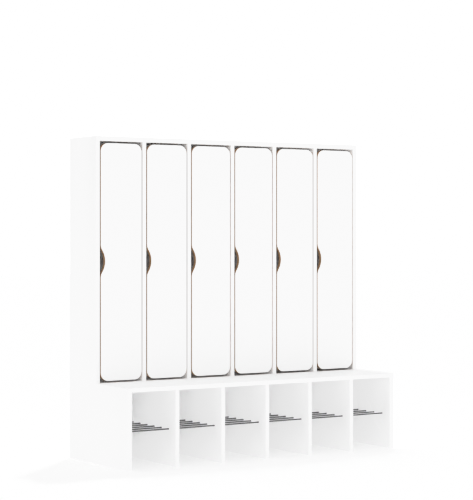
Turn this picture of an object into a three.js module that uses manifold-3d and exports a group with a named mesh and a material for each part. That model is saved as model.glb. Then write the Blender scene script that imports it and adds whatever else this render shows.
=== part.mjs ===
// Cloakroom locker cabinet for six children: six narrow lockers with inset doors stand on a deeper
// bench, and the six open bays under the bench carry a rack of steel rods for shoes.
// Millimetres, +Z up. The origin is on the floor, under the centre of the bounding box.
// +X runs to the right along the front, and the doors face -Y.
import * as THREE from "three";
import { mergeVertices } from "three/addons/utils/BufferGeometryUtils.js";
import Module from "manifold-3d";

const wasm = await Module();
wasm.setup();

// ---- Driving dimensions -------------------------------------------------------------------

const COLUMNS = 6;
const COLUMN_WIDTH = 210.5; // clear width between two upright boards
const BOARD = 18; // thickness of the coated boards
const TOP_BOARD = 20;
const BACK_SHEET = 3;
const HEIGHT = 1400;
const BENCH_HEIGHT = 342; // top of the seat
const BENCH_DEPTH = 520;
const LOCKER_DEPTH = 240;

const DOOR_THICKNESS = 18;
const DOOR_SIDE_GAP = 5;
const DOOR_END_GAP = 9;
const DOOR_CORNER_RADIUS = 35;
const PULL_DEPTH = 21.5; // how far the finger pull cuts into the door's free edge
const PULL_ABOVE_MIDDLE = 3.5;
const PULL_RADIUS = 85;
const PULL_BLEND_RADIUS = 50; // rounds the pull into the straight edge

const ROD_COUNT = 8;
const ROD_RADIUS = 3;
const ROD_PITCH = 61;
const ROD_FRONT_INSET = 58; // from the bench's front to the first rod
const ROD_HEIGHT = 156;
const ROD_HOLE_RADIUS = 3.375;
const ROD_SOCKET_DEPTH = 10; // blind hole in each side panel
const ROD_END_PLAY = 0.5;

const SHELF_UNDERSIDE = 1150;
const SHELF_SETBACK = 28; // from the locker's front, clear of the swinging door

const RAIL_HEIGHT = 1085; // centre line of the coat rail
const RAIL_TALL = 30;
const RAIL_THICKNESS = 4;
const RAIL_NOTCH_PLAY = 1;
const PEGS_PER_LOCKER = 2;
const PEG_SPACING = 90;
const PEG_RADIUS = 5;
const PEG_LENGTH = 42;
const PEG_HEAD_RADIUS = 9;
const PEG_HEAD_LENGTH = 8;

// Concealed single-pin hinge. x runs from the board's face that carries it (negative is into the
// locker), y runs back from the front of the cabinet.
const HINGE_END_DISTANCE = 100; // from each end of the door to a hinge
const PIN_X = -14;
const PIN_Y = 10;
const PIN_RADIUS = 1.5;
const PIN_HALF_LENGTH = 11;
const CUP_RADIUS = 17.5;
const CUP_WALL = 1.5;
const CUP_FLOOR = 1;
const CUP_DEPTH = 12.5;
const CUP_EDGE_WEB = 3; // door material left beside the cup
const CUP_PLAY = 0.3;
const CUP_SIDES = 16;
const PIN_SIDES = 8;
const FLANGE_THICKNESS = 1.25;
const FLANGE_RADIUS = 19;
const FLANGE_WING = { width: 18, height: 56, offset: 9.5 };
const ARM_WIDTH = 11;
const EYE_RADIUS = 2.9;
const EYE_HOLE_RADIUS = 1.85;
const ARM_HOOK = { inner: PIN_X - 13, outer: PIN_X - 16, low: PIN_Y - EYE_RADIUS };
const ARM_STRAP = { low: 9.8, front: 25, back: 28, end: -6 };
const ARM_PLATE = { near: 29, far: 58, thickness: 9 };
const ARM_WING = { near: 36, far: 50, thickness: 3, height: 50 };

const ROUND_BAR_SIDES = 8; // of the shoe rods, their holes and the coat pegs
const CURVE_SEGMENTS = 6; // per arc of an extruded outline
const OVERCUT = 1; // how far a cutting tool runs out past the face it cuts

// ---- Sizes that follow --------------------------------------------------------------------

const PITCH = COLUMN_WIDTH + BOARD;
const WIDTH = COLUMNS * PITCH + BOARD;
const BACK_Y = BENCH_DEPTH / 2;
const BENCH_FRONT_Y = -BENCH_DEPTH / 2;
const LOCKER_FRONT_Y = BACK_Y - LOCKER_DEPTH;
const INNER_BACK_Y = BACK_Y - BACK_SHEET;
const OPENING_TOP = HEIGHT - TOP_BOARD;
const BAY_TOP = BENCH_HEIGHT - BOARD;
const DOOR_WIDTH = COLUMN_WIDTH - 2 * DOOR_SIDE_GAP;
const DOOR_HEIGHT = OPENING_TOP - BENCH_HEIGHT - 2 * DOOR_END_GAP;
const CUP_X = -(DOOR_SIDE_GAP + CUP_EDGE_WEB + CUP_RADIUS);
const HINGE_HEIGHTS = { lower: HINGE_END_DISTANCE, upper: DOOR_HEIGHT - HINGE_END_DISTANCE };

const uprightLeftX = (index) => -WIDTH / 2 + index * PITCH;
const columnLeftX = (column) => uprightLeftX(column) + BOARD;
const columnRightX = (column) => columnLeftX(column) + COLUMN_WIDTH;
const rodY = (index) => BENCH_FRONT_Y + ROD_FRONT_INSET + index * ROD_PITCH;

// ---- Materials ----------------------------------------------------------------------------

const finish = (color, roughness, metalness) =>
  new THREE.MeshStandardMaterial({ color, roughness, metalness });
const whiteBoard = finish(0xf6f6f6, 0.55, 0);
const whiteDoor = finish(0xf9f9f9, 0.45, 0);
const whiteSheet = finish(0xefefef, 0.7, 0);
const darkSteel = finish(0x565656, 0.35, 0.8);
const nickel = finish(0xb9b9b6, 0.3, 1);

// ---- Helpers ------------------------------------------------------------------------------

// A closed three.js geometry as a manifold-3d solid.
function toSolid(geometry) {
  const bare = geometry.clone();
  bare.deleteAttribute("normal");
  bare.deleteAttribute("uv");
  const merged = mergeVertices(bare, 1e-4);
  return new wasm.Manifold(
    new wasm.Mesh({
      numProp: 3,
      vertProperties: merged.attributes.position.array,
      triVerts: new Uint32Array(merged.index.array),
    }),
  );
}

// A manifold-3d solid as a three.js geometry.
function toGeometry(solid) {
  const mesh = solid.getMesh();
  const geometry = new THREE.BufferGeometry();
  geometry.setAttribute("position", new THREE.BufferAttribute(mesh.vertProperties, 3));
  geometry.setIndex(new THREE.BufferAttribute(mesh.triVerts, 1));
  return geometry;
}

function cut(body, tools) {
  return toGeometry(tools.reduce((solid, tool) => solid.subtract(toSolid(tool)), toSolid(body)));
}

function join(pieces) {
  const solids = pieces.map(toSolid);
  return toGeometry(solids.reduce((whole, piece) => whole.add(piece)));
}

// A box from its lowest corner and its size.
function box(x, y, z, width, depth, height) {
  const geometry = new THREE.BoxGeometry(width, depth, height);
  return geometry.translate(x + width / 2, y + depth / 2, z + height / 2);
}

// A cylinder whose length runs along an axis from its start point.
function cylinder(axis, start, radius, length, segments) {
  const geometry = new THREE.CylinderGeometry(radius, radius, length, segments);
  geometry.translate(0, length / 2, 0);
  if (axis === "x") geometry.rotateZ(-Math.PI / 2);
  if (axis === "z") geometry.rotateX(Math.PI / 2);
  return geometry.translate(...start);
}

// An outline drawn in (y, z) and extruded along +X.
function extrudeAlongX(shape, thickness) {
  const geometry = new THREE.ExtrudeGeometry(shape, {
    depth: thickness,
    bevelEnabled: false,
    curveSegments: CURVE_SEGMENTS,
  });
  const basis = new THREE.Matrix4().makeBasis(
    new THREE.Vector3(0, 1, 0),
    new THREE.Vector3(0, 0, 1),
    new THREE.Vector3(1, 0, 0),
  );
  return geometry.applyMatrix4(basis);
}

function polygon(points) {
  return new THREE.Shape(points.map(([a, b]) => new THREE.Vector2(a, b)));
}

const cabinet = new THREE.Group();

function add(parent, name, geometry, material, position = [0, 0, 0]) {
  const mesh = new THREE.Mesh(geometry, material);
  mesh.name = name;
  mesh.position.set(...position);
  parent.add(mesh);
}

// ---- Carcass ------------------------------------------------------------------------------

// One stepped board per side: full height behind, seat height in front.
function sidePanel(socketFaceX) {
  const outline = polygon([
    [BENCH_FRONT_Y, 0],
    [BACK_Y, 0],
    [BACK_Y, HEIGHT],
    [LOCKER_FRONT_Y, HEIGHT],
    [LOCKER_FRONT_Y, BENCH_HEIGHT],
    [BENCH_FRONT_Y, BENCH_HEIGHT],
  ]);
  const sockets = [];
  const length = ROD_SOCKET_DEPTH + OVERCUT;
  for (let i = 0; i < ROD_COUNT; i++) {
    const start = [socketFaceX, rodY(i), ROD_HEIGHT];
    sockets.push(cylinder("x", start, ROD_HOLE_RADIUS, length, ROUND_BAR_SIDES));
  }
  return cut(extrudeAlongX(outline, BOARD), sockets);
}

function benchDivider() {
  const outline = polygon([
    [BENCH_FRONT_Y, 0],
    [INNER_BACK_Y, 0],
    [INNER_BACK_Y, BAY_TOP],
    [BENCH_FRONT_Y, BAY_TOP],
  ]);
  for (let i = 0; i < ROD_COUNT; i++) {
    const hole = new THREE.Path();
    for (let k = 0; k < ROUND_BAR_SIDES; k++) {
      const angle = (2 * Math.PI * k) / ROUND_BAR_SIDES;
      const y = rodY(i) + ROD_HOLE_RADIUS * Math.cos(angle);
      const z = ROD_HEIGHT + ROD_HOLE_RADIUS * Math.sin(angle);
      if (k === 0) hole.moveTo(y, z);
      else hole.lineTo(y, z);
    }
    outline.holes.push(hole);
  }
  return extrudeAlongX(outline, BOARD);
}

// The rear edge is notched for the coat rail, which runs through all the lockers.
function lockerDivider() {
  const notchFrontY = INNER_BACK_Y - RAIL_THICKNESS - RAIL_NOTCH_PLAY;
  const notchBottom = RAIL_HEIGHT - RAIL_TALL / 2 - RAIL_NOTCH_PLAY;
  const notchTop = RAIL_HEIGHT + RAIL_TALL / 2 + RAIL_NOTCH_PLAY;
  const outline = polygon([
    [LOCKER_FRONT_Y, BENCH_HEIGHT],
    [INNER_BACK_Y, BENCH_HEIGHT],
    [INNER_BACK_Y, notchBottom],
    [notchFrontY, notchBottom],
    [notchFrontY, notchTop],
    [INNER_BACK_Y, notchTop],
    [INNER_BACK_Y, OPENING_TOP],
    [LOCKER_FRONT_Y, OPENING_TOP],
  ]);
  return extrudeAlongX(outline, BOARD);
}

function addCarcass() {
  const innerLeft = columnLeftX(0);
  const innerWidth = WIDTH - 2 * BOARD;
  const rightPanelX = WIDTH / 2 - BOARD;
  const leftSockets = BOARD - ROD_SOCKET_DEPTH;
  add(cabinet, "left_side_panel", sidePanel(leftSockets), whiteBoard, [-WIDTH / 2, 0, 0]);
  add(cabinet, "right_side_panel", sidePanel(-OVERCUT), whiteBoard, [rightPanelX, 0, 0]);
  const lockerInnerDepth = LOCKER_DEPTH - BACK_SHEET;
  const top = box(innerLeft, LOCKER_FRONT_Y, OPENING_TOP, innerWidth, LOCKER_DEPTH, TOP_BOARD);
  add(cabinet, "top_panel", top, whiteBoard);
  const seatDepth = BENCH_DEPTH - BACK_SHEET;
  const seat = box(innerLeft, BENCH_FRONT_Y, BAY_TOP, innerWidth, seatDepth, BOARD);
  add(cabinet, "bench_top", seat, whiteBoard);
  const back = box(innerLeft, INNER_BACK_Y, 0, innerWidth, BACK_SHEET, OPENING_TOP);
  add(cabinet, "back_panel", back, whiteSheet);
  for (let i = 1; i < COLUMNS; i++) {
    add(cabinet, `locker_divider_${i}`, lockerDivider(), whiteBoard, [uprightLeftX(i), 0, 0]);
    add(cabinet, `bench_divider_${i}`, benchDivider(), whiteBoard, [uprightLeftX(i), 0, 0]);
  }
  for (let i = 0; i < COLUMNS; i++) {
    const frontY = LOCKER_FRONT_Y + SHELF_SETBACK;
    const depth = lockerInnerDepth - SHELF_SETBACK;
    const shelf = box(columnLeftX(i), frontY, SHELF_UNDERSIDE, COLUMN_WIDTH, depth, BOARD);
    add(cabinet, `hat_shelf_${i + 1}`, shelf, whiteBoard);
  }
}

// ---- Shoe rack and coat rail ----------------------------------------------------------------

// Each rod is one length of steel through every divider, seated in a blind socket at both ends.
function addShoeRods() {
  const startX = columnLeftX(0) - ROD_SOCKET_DEPTH + ROD_END_PLAY;
  const length = -2 * startX;
  for (let i = 0; i < ROD_COUNT; i++) {
    const rod = cylinder("x", [startX, 0, 0], ROD_RADIUS, length, ROUND_BAR_SIDES);
    add(cabinet, `shoe_rod_${i + 1}`, rod, darkSteel, [0, rodY(i), ROD_HEIGHT]);
  }
}

function coatRail() {
  const innerLeft = columnLeftX(0);
  const frontY = INNER_BACK_Y - RAIL_THICKNESS;
  const railBottom = RAIL_HEIGHT - RAIL_TALL / 2;
  const pieces = [box(innerLeft, frontY, railBottom, -2 * innerLeft, RAIL_THICKNESS, RAIL_TALL)];
  for (let column = 0; column < COLUMNS; column++) {
    for (let k = 0; k < PEGS_PER_LOCKER; k++) {
      const middle = columnLeftX(column) + COLUMN_WIDTH / 2;
      const x = middle + (k - (PEGS_PER_LOCKER - 1) / 2) * PEG_SPACING;
      const overlap = RAIL_THICKNESS / 2;
      const shaftStart = [x, frontY - PEG_LENGTH, RAIL_HEIGHT];
      pieces.push(cylinder("y", shaftStart, PEG_RADIUS, PEG_LENGTH + overlap, ROUND_BAR_SIDES));
      pieces.push(cylinder("y", shaftStart, PEG_HEAD_RADIUS, PEG_HEAD_LENGTH, ROUND_BAR_SIDES));
    }
  }
  return join(pieces);
}

// ---- Doors and hinges -----------------------------------------------------------------------

// Drawn in (x, z) from the door's lower left corner, with the finger pull in the left edge.
function doorOutline() {
  const w = DOOR_WIDTH;
  const h = DOOR_HEIGHT;
  const r = DOOR_CORNER_RADIUS;
  const middle = h / 2 + PULL_ABOVE_MIDDLE;
  const pullCentreX = PULL_DEPTH - PULL_RADIUS;
  const betweenCentresX = PULL_BLEND_RADIUS - pullCentreX;
  const blendHalfHeight = Math.sqrt(
    (PULL_RADIUS + PULL_BLEND_RADIUS) ** 2 - betweenCentresX ** 2,
  );
  const angle = Math.atan2(blendHalfHeight, betweenCentresX);
  const turn = Math.PI / 2;
  const shape = new THREE.Shape();
  shape.moveTo(r, 0);
  shape.absarc(w - r, r, r, -turn, 0, false);
  shape.absarc(w - r, h - r, r, 0, turn, false);
  shape.absarc(r, h - r, r, turn, 2 * turn, false);
  const blend = PULL_BLEND_RADIUS;
  shape.absarc(blend, middle + blendHalfHeight, blend, Math.PI, Math.PI + angle, false);
  shape.absarc(pullCentreX, middle, PULL_RADIUS, angle, 0, true);
  shape.absarc(pullCentreX, middle, PULL_RADIUS, 0, -angle, true);
  shape.absarc(blend, middle - blendHalfHeight, blend, Math.PI - angle, Math.PI, false);
  shape.absarc(r, r, r, 2 * turn, 3 * turn, false);
  return shape;
}

// The door's origin is on its front face at the lower left corner, and its thickness runs back.
function doorPanel() {
  const slab = new THREE.ExtrudeGeometry(doorOutline(), {
    depth: DOOR_THICKNESS,
    bevelEnabled: false,
    curveSegments: CURVE_SEGMENTS,
  });
  slab.rotateX(Math.PI / 2).translate(0, DOOR_THICKNESS, 0);
  const boreX = DOOR_WIDTH - CUP_EDGE_WEB - CUP_RADIUS;
  const boreDepth = CUP_DEPTH + CUP_PLAY;
  const bores = Object.values(HINGE_HEIGHTS).map((height) => {
    const start = [boreX, DOOR_THICKNESS - boreDepth, height];
    return cylinder("y", start, CUP_RADIUS + CUP_PLAY, boreDepth + OVERCUT, CUP_SIDES);
  });
  return cut(slab, bores);
}

// Cup, flange and pin, in the hinge's own (x, y) with the hinge's mid height at z = 0.
function hingeCup() {
  const bottomY = DOOR_THICKNESS - CUP_DEPTH;
  const cup = cylinder("y", [CUP_X, bottomY, 0], CUP_RADIUS, CUP_DEPTH, CUP_SIDES);
  const flangeStart = [CUP_X, DOOR_THICKNESS, 0];
  const disc = cylinder("y", flangeStart, FLANGE_RADIUS, FLANGE_THICKNESS, CUP_SIDES);
  const wing = box(
    CUP_X - FLANGE_WING.offset - FLANGE_WING.width / 2,
    DOOR_THICKNESS,
    -FLANGE_WING.height / 2,
    FLANGE_WING.width,
    FLANGE_THICKNESS,
    FLANGE_WING.height,
  );
  const cavityStart = [CUP_X, bottomY + CUP_FLOOR, 0];
  const cavityLength = CUP_DEPTH - CUP_FLOOR + FLANGE_THICKNESS + OVERCUT;
  const cavity = cylinder("y", cavityStart, CUP_RADIUS - CUP_WALL, cavityLength, CUP_SIDES);
  const pinStart = [PIN_X, PIN_Y, -PIN_HALF_LENGTH];
  const pin = cylinder("z", pinStart, PIN_RADIUS, 2 * PIN_HALF_LENGTH, PIN_SIDES);
  return join([cut(join([cup, disc, wing]), [cavity]), pin]);
}

// A hooked arm around the pin, on the plate that is screwed to the board behind the door. Its hook
// reaches over the door's edge as the door opens.
function hingeArm() {
  const hook = ARM_HOOK;
  const strap = ARM_STRAP;
  const plate = ARM_PLATE;
  const meet = Math.PI + Math.asin((PIN_Y - strap.low) / EYE_RADIUS);
  const shape = new THREE.Shape();
  shape.absarc(PIN_X, PIN_Y, EYE_RADIUS, -Math.PI / 2, meet, false);
  shape.lineTo(hook.inner, strap.low);
  shape.lineTo(hook.inner, strap.front);
  shape.lineTo(strap.end, strap.front);
  shape.lineTo(strap.end, plate.near);
  shape.lineTo(0, plate.near);
  shape.lineTo(0, plate.far);
  shape.lineTo(-plate.thickness, plate.far);
  shape.lineTo(-plate.thickness, strap.back);
  shape.lineTo(hook.outer, strap.back);
  shape.lineTo(hook.outer, hook.low);
  const eye = new THREE.Path();
  eye.absarc(PIN_X, PIN_Y, EYE_HOLE_RADIUS, 0, 2 * Math.PI, false);
  shape.holes.push(eye);
  const arm = new THREE.ExtrudeGeometry(shape, {
    depth: ARM_WIDTH,
    bevelEnabled: false,
    curveSegments: PIN_SIDES,
  });
  arm.translate(0, 0, -ARM_WIDTH / 2);
  const wing = box(
    -ARM_WING.thickness,
    ARM_WING.near,
    -ARM_WING.height / 2,
    ARM_WING.thickness,
    ARM_WING.far - ARM_WING.near,
    ARM_WING.height,
  );
  return join([arm, wing]);
}

function addDoors() {
  const doorZ = BENCH_HEIGHT + DOOR_END_GAP;
  for (let column = 0; column < COLUMNS; column++) {
    const name = `door_${column + 1}`;
    const doorX = columnLeftX(column) + DOOR_SIDE_GAP;
    add(cabinet, name, doorPanel(), whiteDoor, [doorX, LOCKER_FRONT_Y, doorZ]);
    for (const [level, height] of Object.entries(HINGE_HEIGHTS)) {
      const place = [columnRightX(column), LOCKER_FRONT_Y, doorZ + height];
      add(cabinet, `${name}_${level}_hinge_cup`, hingeCup(), nickel, place);
      add(cabinet, `${name}_${level}_hinge_arm`, hingeArm(), nickel, place);
    }
  }
}

addCarcass();
addShoeRods();
add(cabinet, "coat_peg_rail", coatRail(), nickel);
addDoors();

export default cabinet;
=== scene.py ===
"""The looks of the locker cabinet: materials, doors, hinges, rods and fittings around its frame.

Metres, in the frame's own axes: +X to the right along the front, the doors face -Y, +Z up.
"""

import math

import bmesh
import bpy
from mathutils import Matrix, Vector


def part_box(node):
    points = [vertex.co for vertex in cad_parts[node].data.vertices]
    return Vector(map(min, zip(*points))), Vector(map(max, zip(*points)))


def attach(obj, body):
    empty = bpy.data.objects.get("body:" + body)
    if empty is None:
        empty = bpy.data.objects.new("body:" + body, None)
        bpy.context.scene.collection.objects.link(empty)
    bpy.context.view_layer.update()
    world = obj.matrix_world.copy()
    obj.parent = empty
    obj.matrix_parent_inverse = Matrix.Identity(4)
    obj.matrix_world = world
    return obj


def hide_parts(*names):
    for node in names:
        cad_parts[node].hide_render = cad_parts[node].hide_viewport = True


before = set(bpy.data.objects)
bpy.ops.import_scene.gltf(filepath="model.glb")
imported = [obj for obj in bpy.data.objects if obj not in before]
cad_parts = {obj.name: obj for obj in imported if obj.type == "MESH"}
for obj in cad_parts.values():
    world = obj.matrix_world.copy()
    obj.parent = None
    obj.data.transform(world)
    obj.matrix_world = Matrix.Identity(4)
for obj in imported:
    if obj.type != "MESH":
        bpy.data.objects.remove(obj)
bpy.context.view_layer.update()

MM = 0.001
COLUMNS = 6
LEVELS = ("lower", "upper")

# ---- Camera and light -----------------------------------------------------------------------

CAMERA_PLACE = (-4.0427, -6.2351, 0.9786)
CAMERA_YAW = math.radians(33.008)
CAMERA_LENS_MM = 119.16
CAMERA_SHIFT_Y = -0.0309

WORLD_LIGHT = 0.75  # the even surround's strength as light,
WORLD_SHOWN = 1.1  # and as the camera sees it
FLOOR_GLOW = 0.12
# The soft suns: azimuth, elevation and width in degrees, then the strength.
SUNS = {
    "overhead_light": (0.0, 90.0, 60.0, 0.020),
    "rear_light": (133.0, 66.0, 5.0, 0.072),
    "front_light": (-30.0, 9.0, 24.0, 0.093),
}
# Light in the scene against light in the picture. The shoulder keeps the tones of white on white.
TONE_CURVE = (
    (0.0, 0.0),
    (0.25, 0.35),
    (0.45, 0.65),
    (0.53, 0.768),
    (0.64, 0.815),
    (0.71, 0.855),
    (0.785, 0.905),
    (0.857, 0.948),
    (0.91, 0.958),
    (0.955, 0.997),
    (1.0, 1.0),
)
COMBINED_CURVE = 3  # comes after the red, green and blue ones
LIGHT_BOUNCES = 32
FLOOR_SIZE = 60.0


def link(thing):
    bpy.context.scene.collection.objects.link(thing)
    return thing


def make_camera():
    data = bpy.data.cameras.new("camera")
    data.lens = CAMERA_LENS_MM
    data.shift_y = CAMERA_SHIFT_Y
    data.clip_end = 2 * FLOOR_SIZE
    camera = link(bpy.data.objects.new("camera", data))
    camera.location = CAMERA_PLACE
    camera.rotation_euler = (math.pi / 2, 0.0, -CAMERA_YAW)
    bpy.context.scene.camera = camera


def make_world():
    """Even light from all round. What the camera sees of it is plain white."""
    world = bpy.data.worlds.new("studio")
    world.use_nodes = True
    nodes, links = world.node_tree.nodes, world.node_tree.links
    background = nodes["Background"]
    background.inputs["Color"].default_value = (1.0, 1.0, 1.0, 1.0)
    rays = nodes.new("ShaderNodeLightPath")
    strength = nodes.new("ShaderNodeMapRange")
    strength.inputs["To Min"].default_value = WORLD_LIGHT
    strength.inputs["To Max"].default_value = WORLD_SHOWN
    links.new(rays.outputs["Is Camera Ray"], strength.inputs["Value"])
    links.new(strength.outputs["Result"], background.inputs["Strength"])
    bpy.context.scene.world = world


def soft_sun(name, azimuth, elevation, spread, strength):
    """A wide, distant light. Azimuth 0 comes from the front, and a positive one from the right."""
    data = bpy.data.lights.new(name, "SUN")
    data.angle = math.radians(spread)
    data.energy = strength * math.pi
    turn, rise = math.radians(azimuth), math.radians(elevation)
    level = math.cos(rise)
    source = Vector((math.sin(turn) * level, -math.cos(turn) * level, math.sin(rise)))
    light = link(bpy.data.objects.new(name, data))
    light.rotation_euler = source.to_track_quat("Z", "Y").to_euler()


def set_tones():
    """The standard view with the tone curve. Light above its end stays white."""
    view = bpy.context.scene.view_settings
    view.view_transform = "Standard"
    view.use_curve_mapping = True
    view.curve_mapping.extend = "HORIZONTAL"
    curve = view.curve_mapping.curves[COMBINED_CURVE]
    first, last = curve.points
    first.location, last.location = TONE_CURVE[0], TONE_CURVE[-1]
    for light, shown in TONE_CURVE[1:-1]:
        curve.points.new(light, shown)
    view.curve_mapping.update()


def set_bounces():
    """White on white needs many bounces before its corners stop darkening."""
    cycles = bpy.context.scene.cycles
    cycles.max_bounces = LIGHT_BOUNCES
    cycles.diffuse_bounces = LIGHT_BOUNCES


# ---- Materials ------------------------------------------------------------------------------


class Finish:
    """A procedural material on a Principled shader, in the object's own coordinates."""

    def __init__(self, name, metallic=0.0, specular=0.5):
        self.material = bpy.data.materials.new(name)
        self.material.use_nodes = True
        self.nodes = self.material.node_tree.nodes
        self.links = self.material.node_tree.links
        self.shader = self.nodes["Principled BSDF"]
        self.shader.inputs["Metallic"].default_value = metallic
        self.shader.inputs["Specular IOR Level"].default_value = specular
        self.coordinates = self.nodes.new("ShaderNodeTexCoord").outputs["Object"]

    def noise(self, scale, detail=2.0, stretch=(1.0, 1.0, 1.0)):
        """Noise with scale features to the metre, drawn out along the axes with a small stretch."""
        mapping = self.nodes.new("ShaderNodeMapping")
        mapping.inputs["Scale"].default_value = stretch
        texture = self.nodes.new("ShaderNodeTexNoise")
        texture.inputs["Scale"].default_value = scale
        texture.inputs["Detail"].default_value = detail
        self.links.new(self.coordinates, mapping.inputs["Vector"])
        self.links.new(mapping.outputs["Vector"], texture.inputs["Vector"])
        return texture.outputs["Fac"]

    def ramp(self, value, dark, light, low=0.3, high=0.7):
        """Colours from dark to light as value goes from low to high."""
        node = self.nodes.new("ShaderNodeValToRGB")
        first, last = node.color_ramp.elements
        first.position, last.position = low, high
        first.color, last.color = (*dark, 1.0), (*light, 1.0)
        self.links.new(value, node.inputs["Fac"])
        return node.outputs["Color"]

    def mixed(self, share, one, other):
        node = self.nodes.new("ShaderNodeMix")
        node.data_type = "RGBA"
        self.links.new(share, node.inputs["Factor"])
        self.links.new(one, node.inputs["A"])
        self.links.new(other, node.inputs["B"])
        return node.outputs["Result"]

    def colour(self, value):
        self.links.new(value, self.shader.inputs["Base Color"])

    def roughness(self, value, smooth, rough):
        node = self.nodes.new("ShaderNodeMapRange")
        node.inputs["To Min"].default_value = smooth
        node.inputs["To Max"].default_value = rough
        self.links.new(value, node.inputs["Value"])
        self.links.new(node.outputs["Result"], self.shader.inputs["Roughness"])

    def bump(self, value, strength, depth):
        node = self.nodes.new("ShaderNodeBump")
        node.inputs["Strength"].default_value = strength
        node.inputs["Distance"].default_value = depth
        self.links.new(value, node.inputs["Height"])
        self.links.new(node.outputs["Normal"], self.shader.inputs["Normal"])


def grey(level):
    return (level, level, level)


def white_laminate():
    """Melamine board facing: a fine pearl grain and hardly any tone of its own."""
    finish = Finish("white_laminate", specular=0.4)
    flecks = finish.ramp(finish.noise(900.0, detail=3.0), grey(0.955), grey(0.972), low=0.35)
    clouds = finish.ramp(finish.noise(4.0), grey(0.957), grey(0.969))
    finish.colour(finish.mixed(finish.noise(60.0), flecks, clouds))
    finish.roughness(finish.noise(35.0), smooth=0.42, rough=0.56)
    finish.bump(finish.noise(1400.0, detail=3.0), strength=0.12, depth=0.12 * MM)
    return finish.material


def door_lacquer():
    """Sprayed white lacquer, smoother than the boards, with a slight orange peel."""
    finish = Finish("door_lacquer", specular=0.45)
    finish.colour(finish.ramp(finish.noise(5.0), grey(0.958), grey(0.968)))
    finish.roughness(finish.noise(25.0), smooth=0.3, rough=0.4)
    finish.bump(finish.noise(260.0, detail=2.0), strength=0.08, depth=0.15 * MM)
    return finish.material


def raw_fibreboard():
    """The sawn edge of brown fibreboard: long fibres along the cut and darker skins at both faces."""
    finish = Finish("raw_fibreboard", specular=0.1)
    fibres = finish.noise(1200.0, detail=4.0, stretch=(1.0, 1.0, 0.25))
    pale = finish.ramp(fibres, (0.38, 0.23, 0.132), (0.52, 0.335, 0.20))
    dark = finish.ramp(fibres, (0.19, 0.112, 0.063), (0.29, 0.175, 0.10))
    layers = finish.noise(420.0, detail=1.0, stretch=(0.05, 1.0, 0.05))
    finish.colour(finish.mixed(layers, pale, dark))
    finish.roughness(fibres, smooth=0.7, rough=0.9)
    finish.bump(fibres, strength=0.35, depth=0.2 * MM)
    return finish.material


def hardboard_sheet():
    """The thin painted back: duller than the boards, with the press's fine mesh in it."""
    finish = Finish("hardboard_sheet", specular=0.3)
    finish.colour(finish.ramp(finish.noise(7.0, detail=3.0), grey(0.925), grey(0.95)))
    finish.roughness(finish.noise(50.0), smooth=0.6, rough=0.75)
    finish.bump(finish.noise(600.0, detail=2.0, stretch=(1.0, 1.0, 0.4)), strength=0.25, depth=0.2 * MM)
    return finish.material


def drawn_steel():
    """Drawn rod, with the die's fine lines along X."""
    finish = Finish("drawn_steel", metallic=0.9)
    streaks = finish.noise(300.0, detail=3.0, stretch=(0.03, 1.0, 1.0))
    finish.colour(finish.ramp(streaks, (0.085, 0.085, 0.088), (0.14, 0.14, 0.143)))
    finish.roughness(streaks, smooth=0.26, rough=0.42)
    finish.bump(streaks, strength=0.1, depth=0.05 * MM)
    return finish.material


def satin_nickel():
    """Satin plating: a fine, even grain with slow changes in its gloss."""
    finish = Finish("satin_nickel", metallic=1.0)
    grain = finish.noise(2600.0, detail=3.0)
    finish.colour(finish.ramp(grain, (0.60, 0.585, 0.56), (0.67, 0.655, 0.63)))
    finish.roughness(finish.noise(40.0), smooth=0.26, rough=0.34)
    finish.bump(grain, strength=0.06, depth=0.02 * MM)
    return finish.material


def moulded_plastic():
    """The small white caps, with a fine moulded texture."""
    finish = Finish("moulded_plastic", specular=0.5)
    finish.colour(finish.ramp(finish.noise(60.0), grey(0.86), grey(0.91)))
    finish.roughness(finish.noise(300.0), smooth=0.3, rough=0.42)
    finish.bump(finish.noise(900.0), strength=0.08, depth=0.08 * MM)
    return finish.material


def studio_floor():
    """A pale backdrop that glows a little, so that it meets the surround without an edge."""
    finish = Finish("studio_floor", specular=0.1)
    finish.colour(finish.ramp(finish.noise(2.0), grey(0.985), grey(0.995)))
    finish.roughness(finish.noise(3.0), smooth=0.85, rough=0.95)
    finish.shader.inputs["Emission Color"].default_value = (1.0, 1.0, 1.0, 1.0)
    finish.shader.inputs["Emission Strength"].default_value = FLOOR_GLOW
    return finish.material


# ---- Mesh helpers ---------------------------------------------------------------------------

EASING_STEPS = 3
SUPPORT = 0.5 * MM  # the flat strip that keeps a rounded edge's shading off the face beside it
TIGHTEST_CORNER = 0.05 * MM
SMOOTH_ANGLE = math.radians(35.0)


def arc(centre, radius, start, end, steps):
    """Points along an arc from start to end, in degrees, both ends included."""
    angles = [math.radians(start + (end - start) * i / steps) for i in range(steps + 1)]
    return [(centre[0] + radius * math.cos(a), centre[1] + radius * math.sin(a)) for a in angles]


def rectangle(x0, y0, x1, y1, corner, steps=6):
    """An outline that can be drawn smaller by an inset: a rectangle with rounded corners."""

    def outline(inset):
        r = max(corner - inset, TIGHTEST_CORNER)
        left, bottom, right, top = x0 + inset + r, y0 + inset + r, x1 - inset - r, y1 - inset - r
        return (
            arc((left, bottom), r, 180, 270, steps)
            + arc((right, bottom), r, 270, 360, steps)
            + arc((right, top), r, 0, 90, steps)
            + arc((left, top), r, 90, 180, steps)
        )

    return outline


def circle(centre, radius, steps):
    return arc(centre, radius, 0, 360 * (steps - 1) / steps, steps - 1)


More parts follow.
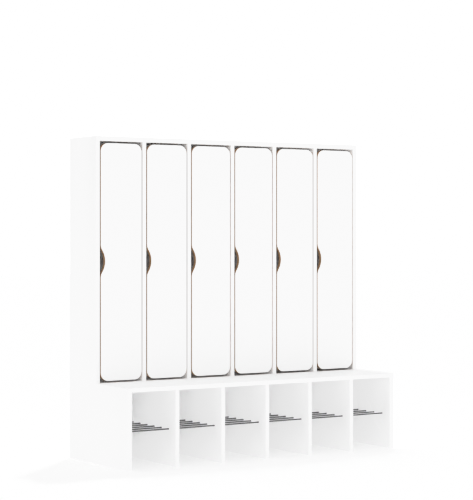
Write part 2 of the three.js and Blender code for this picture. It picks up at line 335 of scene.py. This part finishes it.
def skin(bm, rings, slots):
    """Faces between equal rings of points, with both ends closed. slots gives each step's material."""
    loops = [[bm.verts.new(point) for point in ring] for ring in rings]
    count = len(loops[0])
    faces = [bm.faces.new(loops[0]), bm.faces.new(loops[-1])]
    faces[0].material_index, faces[1].material_index = slots[0], slots[-1]
    for (below, above), slot in zip(zip(loops, loops[1:]), slots):
        for i in range(count):
            j = (i + 1) % count
            face = bm.faces.new((below[i], below[j], above[j], above[i]))
            face.material_index = slot
            faces.append(face)
    bmesh.ops.recalc_face_normals(bm, faces=faces)
    return faces


def slab(bm, outline, low, high, easing, place, face_slot=0, edge_slot=0):
    """A plate with rounded edges. place turns an outline point and a depth into a point in space.

    The faces' material runs round the edges' rounding, and the straight part between has its own.
    """
    support = min(SUPPORT, (high - low - 2 * easing) / 3)
    quarter = [math.radians(90 * k / EASING_STEPS) for k in range(EASING_STEPS + 1)]
    rounding = [(easing * (1 - math.sin(a)), easing * (1 - math.cos(a))) for a in quarter]
    near = [(easing + support, 0.0)] + rounding + [(0.0, easing + support)]
    levels = [(inset, low + depth) for inset, depth in near]
    levels += [(inset, high - depth) for inset, depth in reversed(near)]
    rings = [[place(point, depth) for point in outline(inset)] for inset, depth in levels]
    rounded = [face_slot] * len(rounding)
    slots = rounded + [edge_slot] * 3 + rounded
    return skin(bm, rings, slots)


def along_x(point, depth):
    return Vector((depth, point[0], point[1]))


def along_y(point, depth):
    return Vector((point[0], depth, point[1]))


def along_z(point, depth):
    return Vector((point[0], point[1], depth))


def turned(bm, profile, centre, place, slot, steps):
    """A turned solid. profile is a list of (radius, distance along the axis)."""
    rings = []
    for radius, along in profile:
        rings.append([place(point, along) for point in circle(centre, radius, steps)])
    return skin(bm, rings, [slot] * (len(rings) - 1))


def measured(profile, face, direction=1.0):
    """A profile in millimetres as one for turned, out from a face across the axis."""
    return [(radius * MM, face + direction * reach * MM) for radius, reach in profile]


def round_cutter(name, radius, start, end, centres, place, steps, slot=0):
    """A mesh of cylinders, for taking out of a piece."""
    bm = bmesh.new()
    for centre in centres:
        turned(bm, [(radius, start), (radius, end)], centre, place, slot, steps)
    mesh = bpy.data.meshes.new(name)
    bm.to_mesh(mesh)
    bm.free()
    return mesh


def piece(name, bm, materials, body, place=(0.0, 0.0, 0.0)):
    """The finished mesh as an object that rides on a body."""
    mesh = bpy.data.meshes.new(name)
    bm.to_mesh(mesh)
    bm.free()
    for polygon in mesh.polygons:
        polygon.use_smooth = True
    mesh.set_sharp_from_angle(angle=SMOOTH_ANGLE)
    for material in materials:
        mesh.materials.append(material)
    return placed(name, mesh, body, place)


def placed(name, mesh, body, place):
    """One more object with the same mesh, riding on a body."""
    thing = link(bpy.data.objects.new(name, mesh))
    thing.location = place
    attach(thing, body)
    return thing


def cut_away(thing, cutter_mesh):
    """Takes the cutter's solid out of an object's mesh."""
    cutter = link(bpy.data.objects.new("cutter", cutter_mesh))
    modifier = thing.modifiers.new("cut", "BOOLEAN")
    modifier.operation = "DIFFERENCE"
    modifier.solver = "EXACT"
    modifier.object = cutter
    bpy.context.view_layer.update()
    graph = bpy.context.evaluated_depsgraph_get()
    made = bpy.data.meshes.new_from_object(thing.evaluated_get(graph))
    made.set_sharp_from_angle(angle=SMOOTH_ANGLE)
    thing.modifiers.clear()
    thing.data = made
    bpy.data.objects.remove(cutter)
    return made


# ---- Boards ---------------------------------------------------------------------------------

BOARD_WORDS = ("panel", "bench_top", "divider", "shelf")
BOARD_EASING = 0.4 * MM
WELD_DISTANCE = 0.01 * MM
EASED_ANGLE = math.radians(40.0)


def dress_boards(laminate, sheet):
    """The boards keep their solids from the frame, with a finish and slightly rounded edges."""
    for name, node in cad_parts.items():
        if not any(word in name for word in BOARD_WORDS):
            continue
        node.data.materials.clear()
        node.data.materials.append(sheet if name == "back_panel" else laminate)
        for polygon in node.data.polygons:
            polygon.use_smooth = True
        if name == "back_panel":
            continue
        weld = node.modifiers.new("weld", "WELD")
        weld.merge_threshold = WELD_DISTANCE
        bevel = node.modifiers.new("eased_edges", "BEVEL")
        bevel.width = BOARD_EASING
        bevel.segments = EASING_STEPS
        bevel.limit_method = "ANGLE"
        bevel.angle_limit = EASED_ANGLE
        bevel.harden_normals = True


# ---- Sizes of the doors and hinges, the same as in the frame ----------------------------------

DOOR_CORNER_RADIUS = 35 * MM
PULL_DEPTH = 21.5 * MM
PULL_RADIUS = 85 * MM
PULL_BLEND_RADIUS = 50 * MM
PULL_ABOVE_MIDDLE = 3.5 * MM
BORE_RADIUS = 17.8 * MM
BORE_DEPTH = 12.8 * MM

# A hinge's x runs from the board that carries it, and its y from the locker's front.
CUP_X = -25.5 * MM
CUP_RADIUS = 17.5 * MM
CUP_DEPTH = 12.5 * MM
CUP_WALL = 1.5 * MM
CUP_FLOOR = 1 * MM
FLANGE_RADIUS = 19 * MM
FLANGE_THICKNESS = 1.25 * MM
WING_X = CUP_X - 9.5 * MM
WING_WIDTH = 18 * MM
WING_HEIGHT = 56 * MM
PIN_X = -14 * MM
PIN_Y = 10 * MM
PIN_RADIUS = 1.5 * MM
PIN_HALF_LENGTH = 11 * MM
EYE_RADIUS = 2.9 * MM
ARM_WIDTH = 11 * MM
HOOK_INNER_X = PIN_X - 13 * MM
HOOK_OUTER_X = PIN_X - 16 * MM
HOOK_FRONT_Y = PIN_Y - EYE_RADIUS
STRAP_Y = 9.8 * MM  # of the strap's face that meets the eye
RUN_NEAR_Y = 25 * MM
RUN_FAR_Y = 28 * MM
PLATE_NEAR_Y = 29 * MM
PLATE_FAR_Y = 58 * MM
PLATE_THICKNESS = 9 * MM
PLATE_WING_NEAR_Y = 36 * MM
PLATE_WING_FAR_Y = 50 * MM
PLATE_WING_HALF_HEIGHT = 25 * MM
PLATE_WING_THICKNESS = 3 * MM


# ---- Doors ----------------------------------------------------------------------------------

DOOR_EASING = 0.5 * MM
CORNER_STEPS = 16
PULL_STEPS = 28
BLEND_STEPS = 8
CUP_STEPS = 48
FACE_SLOT = 0
CUT_SLOT = 1


def door_outline(width, height):
    """The door in (x, z) from its lower left corner, with the finger pull in its left edge."""
    corner = DOOR_CORNER_RADIUS
    middle = height / 2 + PULL_ABOVE_MIDDLE
    pull_x = PULL_DEPTH - PULL_RADIUS
    blend = PULL_BLEND_RADIUS
    across = blend - pull_x
    rise = math.sqrt((PULL_RADIUS + blend) ** 2 - across**2)
    turn = math.degrees(math.atan2(rise, across))

    def outline(inset):
        r = corner - inset
        soft = blend - inset
        return (
            arc((corner, corner), r, 180, 270, CORNER_STEPS)
            + arc((width - corner, corner), r, 270, 360, CORNER_STEPS)
            + arc((width - corner, height - corner), r, 0, 90, CORNER_STEPS)
            + arc((corner, height - corner), r, 90, 180, CORNER_STEPS)
            + arc((blend, middle + rise), soft, 180, 180 + turn, BLEND_STEPS)[:-1]
            + arc((pull_x, middle), PULL_RADIUS + inset, turn, -turn, PULL_STEPS)
            + arc((blend, middle - rise), soft, 180 - turn, 180, BLEND_STEPS)[1:]
        )

    return outline


def make_doors(lacquer, fibreboard):
    """Lacquered faces, raw cut edges, and a bore behind for each hinge cup."""
    low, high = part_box("door_1")
    width, thickness, height = high - low
    bm = bmesh.new()
    outline = door_outline(width, height)
    slab(bm, outline, 0.0, thickness, DOOR_EASING, along_y, FACE_SLOT, CUT_SLOT)
    first = piece("door_panel_1", bm, [lacquer, fibreboard], "door_1", low)
    centres = []
    for level in LEVELS:
        cup_low, cup_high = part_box(f"door_1_{level}_hinge_cup")
        cup_x = cup_high.x - FLANGE_RADIUS - low.x
        centres.append((cup_x, (cup_low.z + cup_high.z) / 2 - low.z))
    start, end = thickness - BORE_DEPTH, thickness + BORE_DEPTH
    cutter = round_cutter("bores", BORE_RADIUS, start, end, centres, along_y, CUP_STEPS, CUT_SLOT)
    cutter.materials.append(lacquer)
    cutter.materials.append(fibreboard)
    cutter.transform(first.matrix_world)
    mesh = cut_away(first, cutter)
    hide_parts("door_1")
    for column in range(2, COLUMNS + 1):
        name = f"door_{column}"
        door = placed(f"door_panel_{column}", mesh, name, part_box(name)[0])
        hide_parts(name)


# ---- Hinges ---------------------------------------------------------------------------------

DOOR_GAP = 0.02 * MM  # keeps the flange off the door's back
WING_GAP = 0.05 * MM
WING_SINK = 0.15 * MM  # the wings lie a little lower than the flange,
WING_OVERLAP = 0.6 * MM  # and run this far under its rim
WING_CORNER = 5 * MM
WING_EASING = 0.3 * MM
WING_SCREW_HEIGHT = 22.5 * MM
CUP_ROUNDING = 0.4 * MM
CUP_BOTTOM_INSET = 2 * MM
PIN_STEPS = 20
EYE_HOLE_RADIUS = 1.75 * MM
EYE_STEPS = 20
EYE_HOLE_STEPS = 24
RUN_OVERLAP = 3 * MM  # how far the arm's strap runs over its plate
PLATE_WING_CORNER = 6 * MM
PLATE_WING_EASING = 0.5 * MM
PLATE_SCREW_Y = 43 * MM
PLATE_SCREW_HEIGHT = 16 * MM
SETTING_SCREWS_Y = (35 * MM, 50 * MM)
# The screws' radius and height.
CUP_SCREW = (3.6 * MM, 1.6 * MM)
PLATE_SCREW = (3.6 * MM, 1.8 * MM)
SETTING_SCREW = (3.0 * MM, 1.2 * MM)
SCREW_STEPS = 24


def screw(bm, centre, base, place, radius, height, direction=1.0):
    """A domed screw head with a recess, sitting on a face at distance base along its axis."""
    recess = 0.35 * radius
    profile = [
        (radius, base),
        (radius, base + direction * 0.3 * height),
        (0.88 * radius, base + direction * 0.7 * height),
        (0.6 * radius, base + direction * 0.95 * height),
        (recess, base + direction * height),
        (0.5 * recess, base + direction * 0.35 * height),
    ]
    turned(bm, profile, centre, place, 0, SCREW_STEPS)


def cup_profile(thickness):
    """The pressed cup as (radius, distance from the door's front), round to its inside."""
    bottom = thickness - CUP_DEPTH
    back = thickness + DOOR_GAP
    top = thickness + FLANGE_THICKNESS
    inner = CUP_RADIUS - CUP_WALL
    rounding = CUP_ROUNDING
    return [
        (CUP_RADIUS - CUP_BOTTOM_INSET, bottom),
        (CUP_RADIUS - rounding, bottom + 0.3 * rounding),
        (CUP_RADIUS, bottom + 2 * rounding),
        (CUP_RADIUS, back),
        (FLANGE_RADIUS, back),
        (FLANGE_RADIUS, top - rounding),
        (FLANGE_RADIUS - rounding, top),
        (inner + 2 * rounding, top),
        (inner + 0.6 * rounding, top - 0.4 * rounding),
        (inner, top - 2 * rounding),
        (inner, bottom + CUP_FLOOR + 2 * rounding),
        (inner - 2 * rounding, bottom + CUP_FLOOR),
    ]


def hinge_cup(nickel, thickness):
    """The cup with its rim, its two screwed wings and the pin across it."""
    bm = bmesh.new()
    wing_top = thickness + FLANGE_THICKNESS - WING_SINK
    left, right = WING_X - WING_WIDTH / 2, WING_X + WING_WIDTH / 2
    outline = rectangle(left, -WING_HEIGHT / 2, right, WING_HEIGHT / 2, WING_CORNER)
    slab(bm, outline, thickness + WING_GAP, wing_top, WING_EASING, along_y)
    wings = piece("door_1_lower_cup", bm, [nickel], "door_1")
    hole_radius = FLANGE_RADIUS - WING_OVERLAP
    start, end = thickness - CUP_DEPTH, thickness + CUP_DEPTH
    cutter = round_cutter("cup_hole", hole_radius, start, end, [(CUP_X, 0.0)], along_y, CUP_STEPS)
    mesh = cut_away(wings, cutter)
    bm = bmesh.new()
    bm.from_mesh(mesh)
    turned(bm, cup_profile(thickness), (CUP_X, 0.0), along_y, 0, CUP_STEPS)
    pin = [(PIN_RADIUS, -PIN_HALF_LENGTH), (PIN_RADIUS, PIN_HALF_LENGTH)]
    turned(bm, pin, (PIN_X, PIN_Y), along_z, 0, PIN_STEPS)
    for side in (-1, 1):
        screw(bm, (WING_X, side * WING_SCREW_HEIGHT), wing_top, along_y, *CUP_SCREW)
    bpy.data.objects.remove(wings)
    return bm


def filleted(corners, steps=5):
    """A closed outline from (x, y, radius) corners."""
    points = []
    for i, (x, y, radius) in enumerate(corners):
        here = Vector((x, y))
        before = (Vector(corners[i - 1][:2]) - here).normalized()
        after = (Vector(corners[(i + 1) % len(corners)][:2]) - here).normalized()
        if radius == 0:
            points.append(tuple(here))
            continue
        half = before.angle(after) / 2
        middle = here + (before + after).normalized() * radius / math.sin(half)
        reach = radius / math.tan(half)
        start, end = here + before * reach - middle, here + after * reach - middle
        sweep = start.angle_signed(end)
        for k in range(steps + 1):
            turn = -sweep * k / steps
            spun = Vector(
                (
                    start.x * math.cos(turn) - start.y * math.sin(turn),
                    start.x * math.sin(turn) + start.y * math.cos(turn),
                )
            )
            points.append(tuple(middle + spun))
    return points


def arm_outline():
    """The arm from above: the eye round the pin, the hook out of the cup, and the plate."""
    meet = 180 + math.degrees(math.asin((PIN_Y - STRAP_Y) / EYE_RADIUS))
    eye = arc((PIN_X, PIN_Y), EYE_RADIUS, -90, meet, EYE_STEPS)
    run_end = -PLATE_THICKNESS + RUN_OVERLAP
    corners = [
        (eye[-1][0], STRAP_Y, 0),
        (HOOK_INNER_X, STRAP_Y, 1.0 * MM),
        (HOOK_INNER_X, RUN_NEAR_Y, 1.2 * MM),
        (run_end, RUN_NEAR_Y, 1.0 * MM),
        (run_end, PLATE_NEAR_Y, 0.6 * MM),
        (0.0, PLATE_NEAR_Y, 0),
        (0.0, PLATE_FAR_Y, 0),
        (-PLATE_THICKNESS, PLATE_FAR_Y, 1.5 * MM),
        (-PLATE_THICKNESS, RUN_FAR_Y, 0.6 * MM),
        (HOOK_OUTER_X, RUN_FAR_Y, 3.0 * MM),
        (HOOK_OUTER_X, HOOK_FRONT_Y, 2.0 * MM),
        (eye[0][0], HOOK_FRONT_Y, 0),
    ]
    return eye + filleted(corners)[1:-1]


def hinge_arm(nickel):
    """The hooked arm around the pin, on its plate, with the screws that hold and set it."""
    bm = bmesh.new()
    outline = arm_outline()
    half = ARM_WIDTH / 2
    rings = [[along_z(point, depth) for point in outline] for depth in (-half, half)]
    skin(bm, rings, [0])
    arm = piece("door_1_lower_arm", bm, [nickel], "carcass")
    pins = [(PIN_X, PIN_Y)]
    ends = (-ARM_WIDTH, ARM_WIDTH)
    cutter = round_cutter("eye_hole", EYE_HOLE_RADIUS, *ends, pins, along_z, EYE_HOLE_STEPS)
    mesh = cut_away(arm, cutter)
    bpy.data.objects.remove(arm)
    bm = bmesh.new()
    bm.from_mesh(mesh)
    tall = PLATE_WING_HALF_HEIGHT
    wing = rectangle(PLATE_WING_NEAR_Y, -tall, PLATE_WING_FAR_Y, tall, PLATE_WING_CORNER)
    slab(bm, wing, -PLATE_WING_THICKNESS, 0.0, PLATE_WING_EASING, along_x)
    for side in (-1, 1):
        centre = (PLATE_SCREW_Y, side * PLATE_SCREW_HEIGHT)
        screw(bm, centre, -PLATE_WING_THICKNESS, along_x, *PLATE_SCREW, -1.0)
    for y in SETTING_SCREWS_Y:
        screw(bm, (y, 0.0), -PLATE_THICKNESS, along_x, *SETTING_SCREW, -1.0)
    return bm


def make_hinges(nickel):
    """The first hinge's cup and arm are built, and the other eleven share their meshes."""
    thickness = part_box("door_1")[1].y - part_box("door_1")[0].y
    cup_mesh = arm_mesh = None
    for column in range(1, COLUMNS + 1):
        door = f"door_{column}"
        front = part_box(door)[0].y
        for level in LEVELS:
            cup_node, arm_node = f"{door}_{level}_hinge_cup", f"{door}_{level}_hinge_arm"
            low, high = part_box(arm_node)
            place = (high.x, front, (low.z + high.z) / 2)
            if cup_mesh is None:
                cup = piece(f"{door}_{level}_cup", hinge_cup(nickel, thickness), [nickel], door, place)
                arm = piece(f"{door}_{level}_arm", hinge_arm(nickel), [nickel], "carcass", place)
                cup_mesh, arm_mesh = cup.data, arm.data
            else:
                cup = placed(f"{door}_{level}_cup", cup_mesh, door, place)
                arm = placed(f"{door}_{level}_arm", arm_mesh, "carcass", place)
            for thing, node in ((cup, cup_node), (arm, arm_node)):
                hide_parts(node)


# ---- Rods and coat rail -----------------------------------------------------------------------

RODS = 8
ROD_CHAMFER = 0.6 * MM
ROD_STEPS = 24
RAIL_THICKNESS = 4 * MM
RAIL_CORNER = 3 * MM
RAIL_EASING = 1.2 * MM
RAIL_SCREW = (4.0 * MM, 2.0 * MM)
PEGS_PER_LOCKER = 2
PEG_SPACING = 90 * MM
PEG_STEPS = 28
# Radius and distance in mm: a peg's foot measured out from the rail, and its head back from its tip.
PEG_FOOT = ((7.5, -0.5), (7.5, 1.5), (6.6, 2.4), (4.8, 3.4))
PEG_HEAD = (
    (4.6, 14.0),
    (5.4, 10.5),
    (7.4, 8.2),
    (8.8, 6.0),
    (9.0, 4.4),
    (8.5, 2.4),
    (7.0, 0.9),
    (4.5, 0.1),
    (1.5, 0.0),
)


def make_rods(steel):
    for i in range(1, RODS + 1):
        low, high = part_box(f"shoe_rod_{i}")
        radius = (high.z - low.z) / 2
        profile = [
            (radius - ROD_CHAMFER, low.x),
            (radius, low.x + ROD_CHAMFER),
            (radius, high.x - ROD_CHAMFER),
            (radius - ROD_CHAMFER, high.x),
        ]
        bm = bmesh.new()
        turned(bm, profile, ((low.y + high.y) / 2, (low.z + high.z) / 2), along_x, 0, ROD_STEPS)
        rod = piece(f"round_rod_{i}", bm, [steel], "carcass")
        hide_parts(f"shoe_rod_{i}")


def column_span(column):
    """The left and right faces of a locker, from its hat shelf."""
    low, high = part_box(f"hat_shelf_{column}")
    return low.x, high.x


def make_coat_rail(nickel):
    """The flat rail, with the pegs and one screw in each locker."""
    low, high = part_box("coat_peg_rail")
    front = high.y - RAIL_THICKNESS
    middle_z = (low.z + high.z) / 2
    bm = bmesh.new()
    outline = rectangle(low.x, low.z, high.x, high.z, RAIL_CORNER)
    slab(bm, outline, front, high.y, RAIL_EASING, along_y)
    peg = measured(PEG_FOOT, front, -1.0) + measured(PEG_HEAD, low.y)
    for column in range(1, COLUMNS + 1):
        left, right = column_span(column)
        for k in range(PEGS_PER_LOCKER):
            x = (left + right) / 2 + (k - (PEGS_PER_LOCKER - 1) / 2) * PEG_SPACING
            turned(bm, peg, (x, middle_z), along_y, 0, PEG_STEPS)
        screw(bm, ((left + right) / 2, middle_z), front, along_y, *RAIL_SCREW, -1.0)
    rail = piece("peg_rail", bm, [nickel], "carcass")
    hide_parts("coat_peg_rail")


# ---- Small fittings -----------------------------------------------------------------------------

# Each profile gives radius and distance in mm, out from the face that the fitting sits on.
SHELF_PIN = ((4.0, 0.0), (4.0, 1.2), (2.5, 1.5), (2.5, 8.5), (2.0, 9.0))
SHELF_PIN_INSET = 32 * MM
SHELF_PIN_DROP = 4.05 * MM
SHELF_PIN_STEPS = 20
CAM_CAP = ((8.5, 0.0), (8.5, 0.5), (7.8, 0.9), (2.2, 1.0), (1.8, 0.6))
CAM_FROM_BOARD = 34 * MM
CAM_FROM_FRONT = 45 * MM
CAM_FROM_BACK = 55 * MM
CAM_STEPS = 24
NAIL = ((2.2, 0.0), (2.2, 0.2), (1.54, 0.5))
NAIL_ROWS = 9
NAIL_END_INSET = 40 * MM
NAIL_SHARES = (0.25, 0.75)  # of a locker's width
NAIL_STEPS = 16


def make_shelf_pins(nickel):
    """Four pins in the boards hold each hat shelf up."""
    for column in range(1, COLUMNS + 1):
        low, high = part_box(f"hat_shelf_{column}")
        bm = bmesh.new()
        for y in (low.y + SHELF_PIN_INSET, high.y - SHELF_PIN_INSET):
            for face, into in ((low.x, 1.0), (high.x, -1.0)):
                profile = measured(SHELF_PIN, face, into)
                turned(bm, profile, (y, low.z - SHELF_PIN_DROP), along_x, 0, SHELF_PIN_STEPS)
        piece(f"shelf_pins_{column}", bm, [nickel], "carcass")


def make_cam_caps(plastic):
    """Round caps over the cam fittings, under the top panel and under the bench."""
    for node in ("top_panel", "bench_top"):
        low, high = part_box(node)
        profile = measured(CAM_CAP, low.z, -1.0)
        bm = bmesh.new()
        for column in range(1, COLUMNS + 1):
            left, right = column_span(column)
            for x in (left + CAM_FROM_BOARD, right - CAM_FROM_BOARD):
                for y in (low.y + CAM_FROM_FRONT, high.y - CAM_FROM_BACK):
                    turned(bm, profile, (x, y), along_z, 0, CAM_STEPS)
        piece(f"{node}_cam_caps", bm, [plastic], "carcass")


def make_back_nails(nickel):
    """Nails through the back sheet into the dividers, the bench top and the hat shelves."""
    low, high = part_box("back_panel")
    pitch = (high.z - low.z - 2 * NAIL_END_INSET) / (NAIL_ROWS - 1)
    places = []
    for i in range(1, COLUMNS):
        board_low, board_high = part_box(f"locker_divider_{i}")
        x = (board_low.x + board_high.x) / 2
        places += [(x, low.z + NAIL_END_INSET + k * pitch) for k in range(NAIL_ROWS)]
    for node in ("bench_top", "hat_shelf_1"):
        board_low, board_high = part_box(node)
        z = (board_low.z + board_high.z) / 2
        for column in range(1, COLUMNS + 1):
            left, right = column_span(column)
            places += [(left + share * (right - left), z) for share in NAIL_SHARES]
    profile = measured(NAIL, high.y)
    bm = bmesh.new()
    for place in places:
        turned(bm, profile, place, along_y, 0, NAIL_STEPS)
    piece("back_nails", bm, [nickel], "carcass")


# ---- The scene ------------------------------------------------------------------------------


def make_floor():
    half = FLOOR_SIZE / 2
    corners = [(-half, -half, 0.0), (half, -half, 0.0), (half, half, 0.0), (-half, half, 0.0)]
    mesh = bpy.data.meshes.new("floor")
    mesh.from_pydata(corners, [], [(0, 1, 2, 3)])
    mesh.materials.append(studio_floor())
    link(bpy.data.objects.new("floor", mesh))


def main():
    make_camera()
    make_world()
    for name, sun in SUNS.items():
        soft_sun(name, *sun)
    set_tones()
    set_bounces()
    make_floor()
    nickel = satin_nickel()
    dress_boards(white_laminate(), hardboard_sheet())
    make_doors(door_lacquer(), raw_fibreboard())
    make_hinges(nickel)
    make_rods(drawn_steel())
    make_coat_rail(nickel)
    make_shelf_pins(nickel)
    make_cam_caps(moulded_plastic())
    make_back_nails(nickel)


main()
